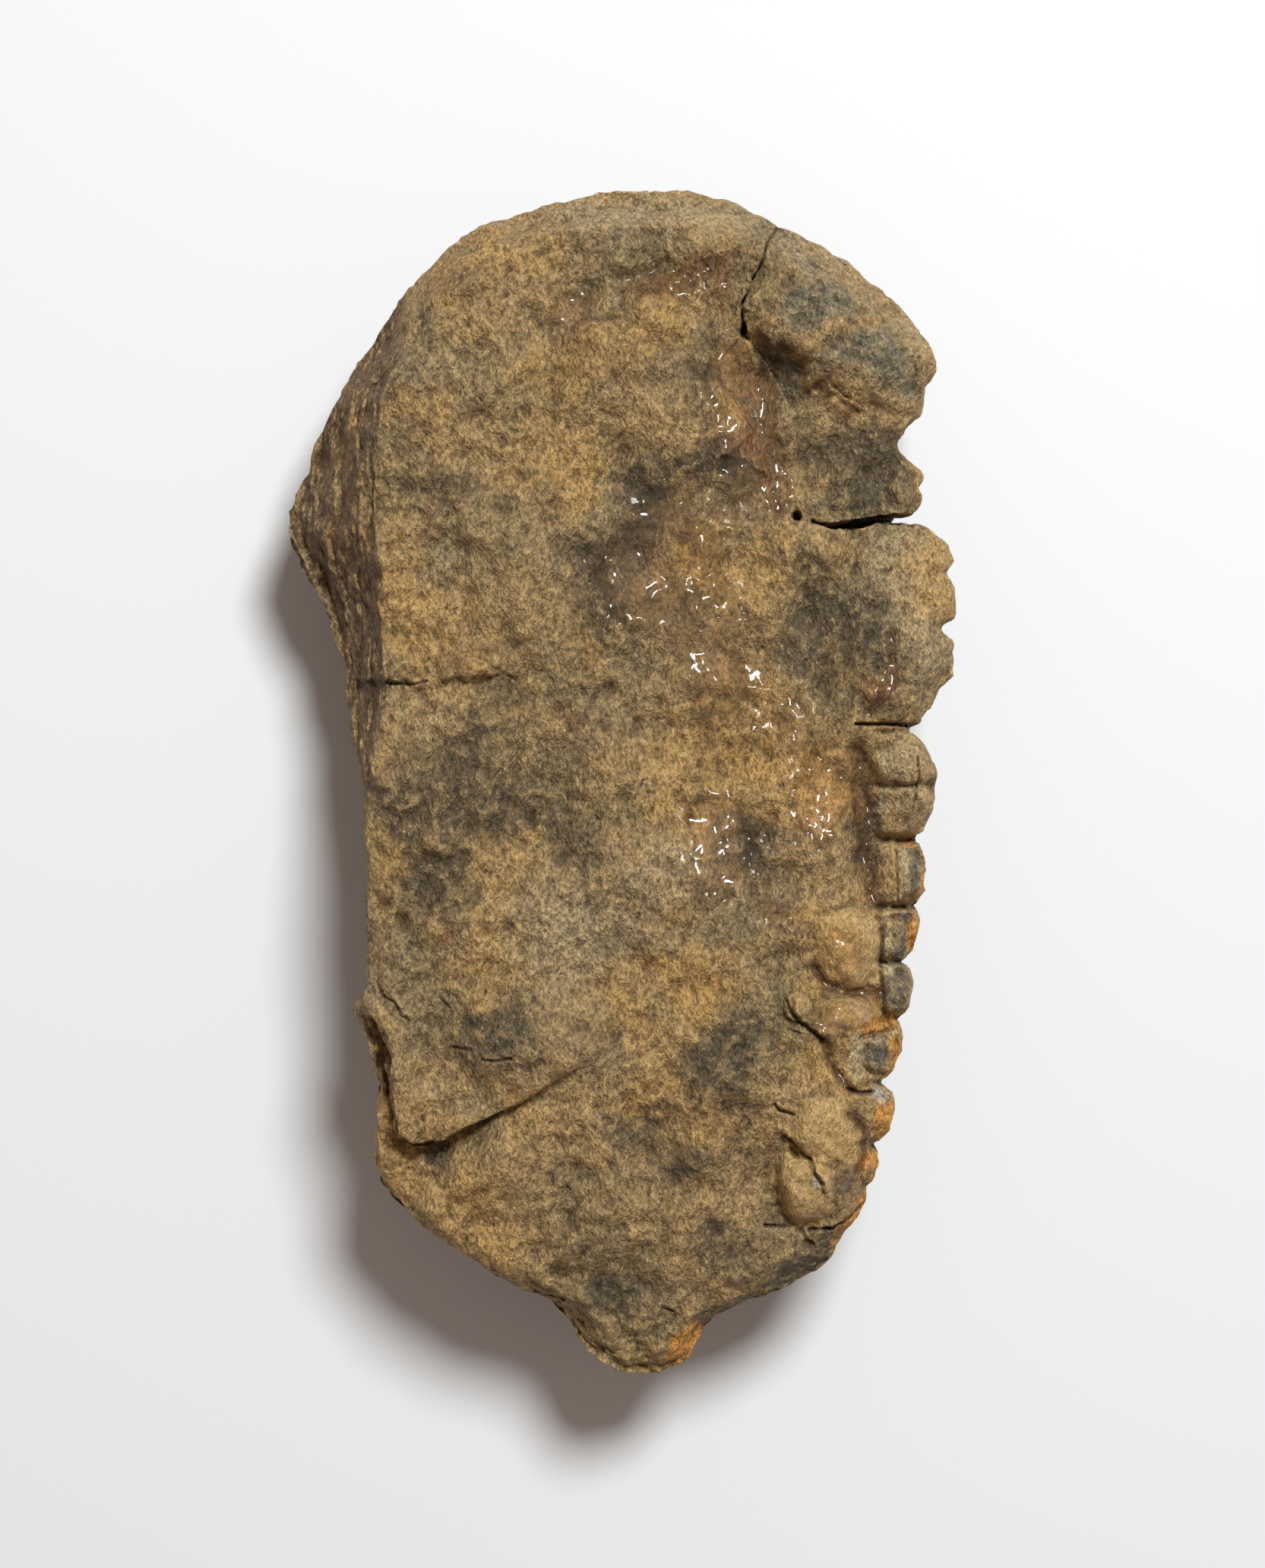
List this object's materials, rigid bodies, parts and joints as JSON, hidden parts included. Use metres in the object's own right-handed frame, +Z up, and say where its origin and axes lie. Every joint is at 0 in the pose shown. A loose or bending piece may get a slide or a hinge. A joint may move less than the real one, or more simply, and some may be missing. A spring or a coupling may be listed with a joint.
{
  "type": "fossil flexicalymene trilobite",
  "caption": "Large ochre trilobite fossil lying on its back: a domed, ribbed stone with its broken belly side up.",
  "frame": {"origin": "centre of the bounding box in plan, on the plane that the fossil rests on", "axes": "+Y from the tail to the head, +X to the right seen from above, +Z up, out of the belly side"},
  "size_m": [0.0625, 0.11, 0.0281],
  "materials": {
    "fossil_stone": "gritty ochre siltstone with grey and brown stains, orange rinds and patches of glossy old glue"
  },
  "bodies": {
    "root": {"trilobite_fossil": "fossil_stone"}
  },
  "joints": []
}
